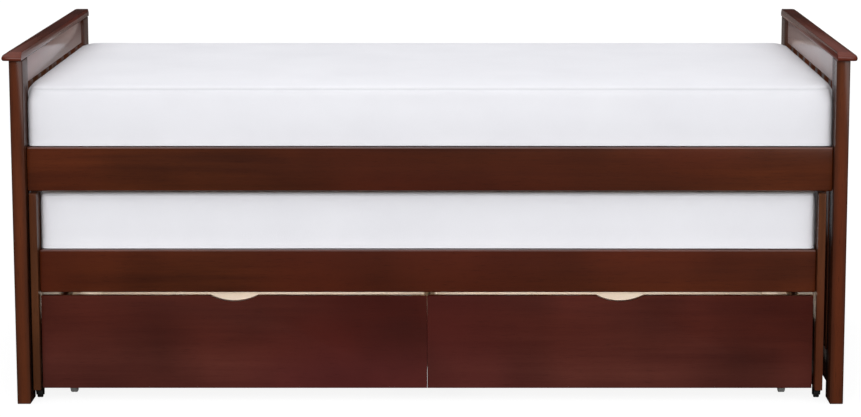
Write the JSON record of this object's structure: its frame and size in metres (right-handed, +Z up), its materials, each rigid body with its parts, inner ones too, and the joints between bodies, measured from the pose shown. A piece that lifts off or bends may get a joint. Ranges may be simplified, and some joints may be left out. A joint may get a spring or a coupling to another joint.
{
  "type": "trundle bed",
  "caption": "Single bed with slatted ends and moulded caps; a second bed on castors rolls out from under it and carries storage drawers on wheels.",
  "frame": {"origin": "on the floor under the middle of the bed's bounding box", "axes": "+X along the bed from its left end to its right end seen from the front, -Y the front, where the trundle and the drawers come out, +Z up"},
  "size_m": [2.058, 1.121, 0.87],
  "materials": {
    "frame_wood": "dark reddish-brown stained hardwood under satin lacquer",
    "drawer_front_wood": "dark red mahogany-stained board under satin lacquer",
    "slat_wood": "planed, unfinished softwood",
    "drawer_panel": "cream melamine-faced board",
    "mattress_fabric": "smooth white knitted cover",
    "castor_fork": "black",
    "castor_tread": "matt black",
    "drawer_wheel": "light grey with a darker tread"
  },
  "bodies": {
    "bed": {"post_front_left": "frame_wood", "post_front_right": "frame_wood", "post_back_left": "frame_wood", "post_back_right": "frame_wood", "end_cap_left": "frame_wood", "end_top_rail_left": "frame_wood", "end_bottom_rail_left": "frame_wood", "end_slats_left": "frame_wood", "end_cap_right": "frame_wood", "end_top_rail_right": "frame_wood", "end_bottom_rail_right": "frame_wood", "end_slats_right": "frame_wood", "side_rail_front": "frame_wood", "slat_ledge_front": "slat_wood", "side_rail_back": "frame_wood", "slat_ledge_back": "slat_wood", "bed_slats": "slat_wood", "bed_mattress": "mattress_fabric"},
    "trundle": {"trundle_leg_front_left": "frame_wood", "trundle_leg_front_right": "frame_wood", "trundle_leg_back_left": "frame_wood", "trundle_leg_back_right": "frame_wood", "trundle_rail_front": "frame_wood", "trundle_ledge_front": "slat_wood", "trundle_rail_back": "frame_wood", "trundle_ledge_back": "slat_wood", "trundle_end_panel_left": "frame_wood", "trundle_end_panel_right": "frame_wood", "trundle_slats": "slat_wood", "trundle_mattress": "mattress_fabric"},
    "castor_front_left": {"castor_fork_front_left": "castor_fork"},
    "castor_wheel_front_left": {"castor_wheel_front_left": "castor_tread"},
    "castor_front_right": {"castor_fork_front_right": "castor_fork"},
    "castor_wheel_front_right": {"castor_wheel_front_right": "castor_tread"},
    "castor_back_left": {"castor_fork_back_left": "castor_fork"},
    "castor_wheel_back_left": {"castor_wheel_back_left": "castor_tread"},
    "castor_back_right": {"castor_fork_back_right": "castor_fork"},
    "castor_wheel_back_right": {"castor_wheel_back_right": "castor_tread"},
    "drawer_left": {"drawer_left_front": "drawer_front_wood", "drawer_left_side_left": "drawer_panel", "drawer_left_side_right": "drawer_panel", "drawer_left_back": "drawer_panel", "drawer_left_bottom": "drawer_panel", "drawer_left_runner_left": "frame_wood", "drawer_left_runner_right": "frame_wood"},
    "drawer_left_wheel_front_left": {"drawer_left_wheel_front_left": "drawer_wheel"},
    "drawer_left_wheel_back_left": {"drawer_left_wheel_back_left": "drawer_wheel"},
    "drawer_left_wheel_front_right": {"drawer_left_wheel_front_right": "drawer_wheel"},
    "drawer_left_wheel_back_right": {"drawer_left_wheel_back_right": "drawer_wheel"},
    "drawer_right": {"drawer_right_front": "drawer_front_wood", "drawer_right_side_left": "drawer_panel", "drawer_right_side_right": "drawer_panel", "drawer_right_back": "drawer_panel", "drawer_right_bottom": "drawer_panel", "drawer_right_runner_left": "frame_wood", "drawer_right_runner_right": "frame_wood"},
    "drawer_right_wheel_front_left": {"drawer_right_wheel_front_left": "drawer_wheel"},
    "drawer_right_wheel_back_left": {"drawer_right_wheel_back_left": "drawer_wheel"},
    "drawer_right_wheel_front_right": {"drawer_right_wheel_front_right": "drawer_wheel"},
    "drawer_right_wheel_back_right": {"drawer_right_wheel_back_right": "drawer_wheel"}
  },
  "joints": [
    {"name": "trundle_slide", "type": "slide", "parent": "bed", "child": "trundle", "axis": [0, -1, 0], "range_m": [0, 1]},
    {"name": "castor_swivel_front_left", "type": "hinge", "parent": "trundle", "child": "castor_front_left", "pos_m": [-0.96675, -0.491, 0], "axis": [0, 0, 1], "range_deg": [-192, 2]},
    {"name": "castor_spin_front_left", "type": "hinge", "parent": "castor_front_left", "child": "castor_wheel_front_left", "pos_m": [-0.96832, -0.47307, 0.0125], "axis": [0.9962, 0.0872, 0], "continuous": true},
    {"name": "castor_swivel_front_right", "type": "hinge", "parent": "trundle", "child": "castor_front_right", "pos_m": [0.95525, -0.491, 0], "axis": [0, 0, 1], "range_deg": [-3, 191]},
    {"name": "castor_spin_front_right", "type": "hinge", "parent": "castor_front_right", "child": "castor_wheel_front_right", "pos_m": [0.95651, -0.47304, 0.0125], "axis": [0.9976, -0.0698, 0], "continuous": true},
    {"name": "castor_swivel_back_left", "type": "hinge", "parent": "trundle", "child": "castor_back_left", "pos_m": [-0.96675, 0.491, 0], "axis": [0, 0, 1], "range_deg": [-163, 31]},
    {"name": "castor_spin_back_left", "type": "hinge", "parent": "castor_back_left", "child": "castor_wheel_back_left", "pos_m": [-0.95943, 0.50744, 0.0125], "axis": [0.9135, -0.4067, 0], "continuous": true},
    {"name": "castor_swivel_back_right", "type": "hinge", "parent": "trundle", "child": "castor_back_right", "pos_m": [0.95525, 0.491, 0], "axis": [0, 0, 1], "range_deg": [-23, 171]},
    {"name": "castor_spin_back_right", "type": "hinge", "parent": "castor_back_right", "child": "castor_wheel_back_right", "pos_m": [0.95029, 0.5083, 0.0125], "axis": [0.9613, 0.2756, 0], "continuous": true},
    {"name": "drawer_left_slide", "type": "slide", "parent": "trundle", "child": "drawer_left", "axis": [0, -1, 0], "range_m": [0, 0.9]},
    {"name": "drawer_left_wheel_front_left_spin", "type": "hinge", "parent": "drawer_left", "child": "drawer_left_wheel_front_left", "pos_m": [-0.8914, -0.418, 0.025], "axis": [1, 0, 0], "continuous": true},
    {"name": "drawer_left_wheel_back_left_spin", "type": "hinge", "parent": "drawer_left", "child": "drawer_left_wheel_back_left", "pos_m": [-0.8914, 0.4, 0.025], "axis": [1, 0, 0], "continuous": true},
    {"name": "drawer_left_wheel_front_right_spin", "type": "hinge", "parent": "drawer_left", "child": "drawer_left_wheel_front_right", "pos_m": [-0.072, -0.362, 0.025], "axis": [1, 0, 0], "continuous": true},
    {"name": "drawer_left_wheel_back_right_spin", "type": "hinge", "parent": "drawer_left", "child": "drawer_left_wheel_back_right", "pos_m": [-0.072, 0.4, 0.025], "axis": [1, 0, 0], "continuous": true},
    {"name": "drawer_right_slide", "type": "slide", "parent": "trundle", "child": "drawer_right", "axis": [0, -1, 0], "range_m": [0, 0.9]},
    {"name": "drawer_right_wheel_front_left_spin", "type": "hinge", "parent": "drawer_right", "child": "drawer_right_wheel_front_left", "pos_m": [0.0568, -0.362, 0.025], "axis": [1, 0, 0], "continuous": true},
    {"name": "drawer_right_wheel_back_left_spin", "type": "hinge", "parent": "drawer_right", "child": "drawer_right_wheel_back_left", "pos_m": [0.0568, 0.4, 0.025], "axis": [1, 0, 0], "continuous": true},
    {"name": "drawer_right_wheel_front_right_spin", "type": "hinge", "parent": "drawer_right", "child": "drawer_right_wheel_front_right", "pos_m": [0.8762, -0.418, 0.025], "axis": [1, 0, 0], "continuous": true},
    {"name": "drawer_right_wheel_back_right_spin", "type": "hinge", "parent": "drawer_right", "child": "drawer_right_wheel_back_right", "pos_m": [0.8762, 0.4, 0.025], "axis": [1, 0, 0], "continuous": true}
  ]
}
